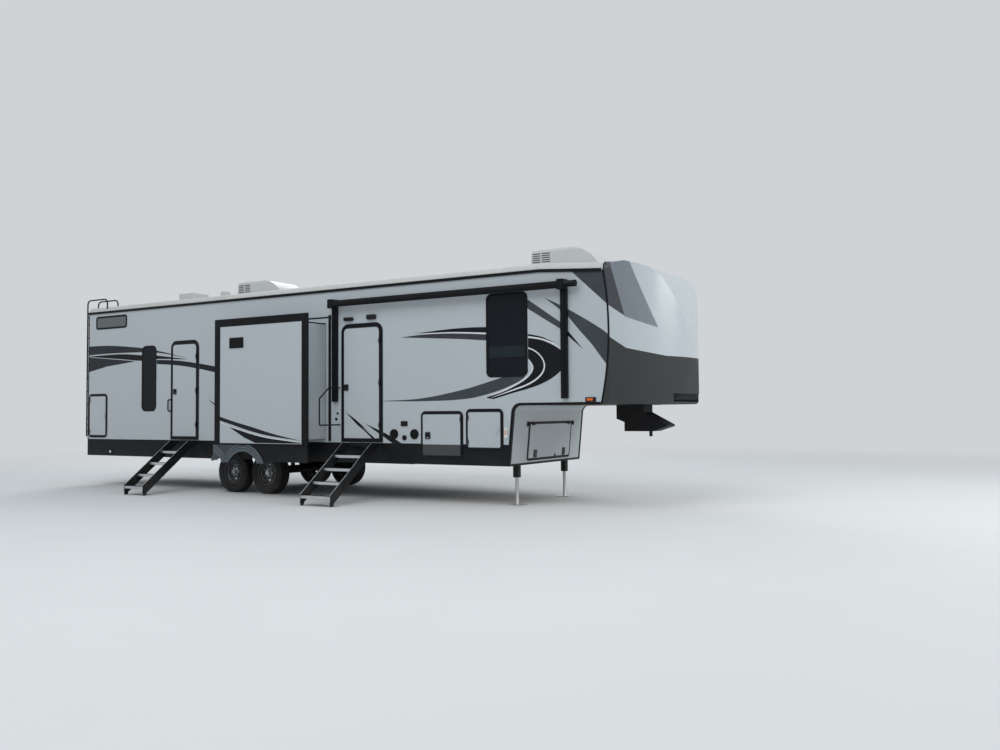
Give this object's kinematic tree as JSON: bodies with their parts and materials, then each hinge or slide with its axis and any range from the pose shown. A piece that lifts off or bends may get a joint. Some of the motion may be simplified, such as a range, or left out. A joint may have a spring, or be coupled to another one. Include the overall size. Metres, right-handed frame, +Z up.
{
  "type": "fifth-wheel travel caravan",
  "caption": "Long pale caravan trailer with a raised front over the hitch, slide-out rooms, hinged doors and hatches, spinning road wheels, steps and landing legs; it is towed and lived in",
  "frame": {"origin": "on the ground, under the middle of the whole trailer's bounding box to within its tolerance, on the centreline of the body", "axes": "+X forward to the hitch, +Y to the street side, +Z up; the rear wall stands at X = -6.290 m"},
  "size_m": [12.77, 4.765, 4.06],
  "materials": {
    "wall_panel": "smooth pale grey-white gelcoat panel",
    "roof_skin": "pale roofing membrane",
    "cap_shell": "moulded gelcoat",
    "dark_skirt": "satin near-black sheet",
    "fender": "blue-grey moulding",
    "dark_trim": "black powder coat",
    "slide_skin": "smooth pale panel",
    "dark_glass": "tinted safety glass",
    "frame_steel": "black chassis paint",
    "belly": "black underbelly sheet",
    "deck": "decking",
    "tyre": "rubber",
    "rim": "dark cast wheel",
    "step_metal": "black tread plate",
    "dark_tube": "black powder-coated tube",
    "leg_steel": "zinc-plated steel",
    "ladder_tube": "black powder-coated tube",
    "roof_plastic": "moulded cover",
    "lamp": "lamp lens",
    "dark_fitting": "black moulded cover",
    "awning_fabric": "rolled fabric",
    "spring_steel": "dark steel"
  },
  "bodies": {
    "caravan_body": {"chassis_frame": "frame_steel", "underbelly": "belly", "floor": "deck", "curb_side_wall": "wall_panel", "street_side_wall": "wall_panel", "rear_wall": "wall_panel", "front_bulkhead": "wall_panel", "roof": "roof_skin", "front_cap": "cap_shell", "lower_skirt": "dark_skirt", "fenders": "fender", "gutter_rails": "dark_trim", "opening_frames": "dark_trim", "window_frames": "dark_trim", "window_glass": "dark_glass", "awning_arms": "dark_trim", "awning_roller": "awning_fabric", "roof_air_conditioners": "roof_plastic", "roof_vents": "roof_plastic", "rear_ladder": "ladder_tube", "entry_steps": "step_metal", "landing_legs": "leg_steel", "pin_box": "frame_steel", "axles": "frame_steel", "leaf_springs": "spring_steel", "lamps": "lamp", "entry_handles": "dark_tube", "side_fittings": "dark_fitting"},
    "main_door": {"main_door": "wall_panel"},
    "rear_door": {"rear_door": "wall_panel"},
    "baggage_door_front": {"baggage_door_front": "wall_panel"},
    "baggage_door_middle": {"baggage_door_middle": "wall_panel"},
    "baggage_door_rear": {"baggage_door_rear": "wall_panel"},
    "street_baggage_door": {"street_baggage_door": "wall_panel"},
    "bin_door": {"bin_door": "wall_panel"},
    "curb_slide": {"curb_slide_room": "slide_skin", "curb_slide_trim": "dark_trim", "curb_slide_skirt": "dark_skirt"},
    "street_slide": {"street_slide_room": "slide_skin", "street_slide_trim": "dark_trim", "street_slide_frames": "dark_trim", "street_slide_glass": "dark_glass"},
    "wheel_curb_rear": {"tyre_curb_rear": "tyre", "rim_curb_rear": "rim"},
    "wheel_curb_front": {"tyre_curb_front": "tyre", "rim_curb_front": "rim"},
    "wheel_street_rear": {"tyre_street_rear": "tyre", "rim_street_rear": "rim"},
    "wheel_street_front": {"tyre_street_front": "tyre", "rim_street_front": "rim"}
  },
  "joints": [
    {"name": "main_door_hinge", "type": "hinge", "parent": "caravan_body", "child": "main_door", "pos_m": [1.397, -1.242, 1.95], "axis": [0, 0, 1], "range_deg": [0, 160]},
    {"name": "rear_door_hinge", "type": "hinge", "parent": "caravan_body", "child": "rear_door", "pos_m": [-3.003, -1.242, 1.9], "axis": [0, 0, 1], "range_deg": [0, 160]},
    {"name": "baggage_door_front_hinge", "type": "hinge", "parent": "caravan_body", "child": "baggage_door_front", "pos_m": [3.127, -1.242, 1.175], "axis": [0, 0, -1], "range_deg": [0, 90]},
    {"name": "baggage_door_middle_hinge", "type": "hinge", "parent": "caravan_body", "child": "baggage_door_middle", "pos_m": [3.003, -1.242, 1.095], "axis": [0, 0, 1], "range_deg": [0, 90]},
    {"name": "baggage_door_rear_hinge", "type": "hinge", "parent": "caravan_body", "child": "baggage_door_rear", "pos_m": [-6.213, -1.242, 1.43], "axis": [0, 0, -1], "range_deg": [0, 160]},
    {"name": "street_baggage_door_hinge", "type": "hinge", "parent": "caravan_body", "child": "street_baggage_door", "pos_m": [3.003, 1.242, 1.095], "axis": [0, 0, -1], "range_deg": [0, 90]},
    {"name": "bin_door_hinge", "type": "hinge", "parent": "caravan_body", "child": "bin_door", "pos_m": [3.9446, 0.055, 1.25275], "axis": [0, -1, 0], "range_deg": [0, 90]},
    {"name": "curb_slide_travel", "type": "slide", "parent": "caravan_body", "child": "curb_slide", "axis": [0, 1, 0], "range_m": [0, 0.48]},
    {"name": "street_slide_travel", "type": "slide", "parent": "caravan_body", "child": "street_slide", "axis": [0, -1, 0], "range_m": [0, 1.067]},
    {"name": "wheel_curb_rear_spin", "type": "hinge", "parent": "caravan_body", "child": "wheel_curb_rear", "pos_m": [-2.08, -1.0725, 0.38], "axis": [0, 1, 0], "continuous": true},
    {"name": "wheel_curb_front_spin", "type": "hinge", "parent": "caravan_body", "child": "wheel_curb_front", "pos_m": [-1.22, -1.0725, 0.38], "axis": [0, 1, 0], "continuous": true},
    {"name": "wheel_street_rear_spin", "type": "hinge", "parent": "caravan_body", "child": "wheel_street_rear", "pos_m": [-2.08, 1.0725, 0.38], "axis": [0, 1, 0], "continuous": true},
    {"name": "wheel_street_front_spin", "type": "hinge", "parent": "caravan_body", "child": "wheel_street_front", "pos_m": [-1.22, 1.0725, 0.38], "axis": [0, 1, 0], "continuous": true}
  ]
}
